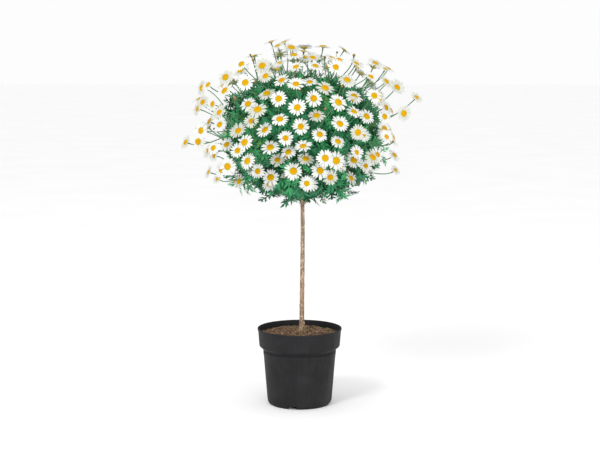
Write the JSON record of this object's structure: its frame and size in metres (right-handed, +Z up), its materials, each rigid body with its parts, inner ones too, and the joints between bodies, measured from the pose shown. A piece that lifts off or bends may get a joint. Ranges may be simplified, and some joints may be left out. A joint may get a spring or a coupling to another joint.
{
  "type": "standard marguerite daisy in a pot",
  "caption": "Marguerite daisy grown as a standard: a round head of feathery leaves and white daisies on a bare slender trunk, in a round tapered nursery pot.",
  "frame": {"origin": "centre of the flat underside of the pot, on the surface that the pot stands on", "axes": "+Z up along the trunk, -Y towards the viewer in the picture, +X to the viewer's right"},
  "size_m": [0.5279, 0.4953, 0.8172],
  "materials": {
    "pot": "matte",
    "compost": "matte",
    "bark": "matte",
    "foliage": "matte"
  },
  "bodies": {
    "root": {"pot": "pot", "compost": "compost", "trunk": "bark", "bough_low_1": "bark", "bough_low_2": "bark", "bough_low_3": "bark", "bough_low_4": "bark", "bough_low_5": "bark", "bough_low_6": "bark", "bough_low_7": "bark", "bough_high_1": "bark", "bough_high_2": "bark", "bough_high_3": "bark", "bough_high_4": "bark", "bough_high_5": "bark", "foliage_low_1": "foliage", "foliage_low_2": "foliage", "foliage_low_3": "foliage", "foliage_low_4": "foliage", "foliage_low_5": "foliage", "foliage_low_6": "foliage", "foliage_low_7": "foliage", "foliage_high_1": "foliage", "foliage_high_2": "foliage", "foliage_high_3": "foliage", "foliage_high_4": "foliage", "foliage_high_5": "foliage", "foliage_top": "foliage"}
  },
  "joints": []
}
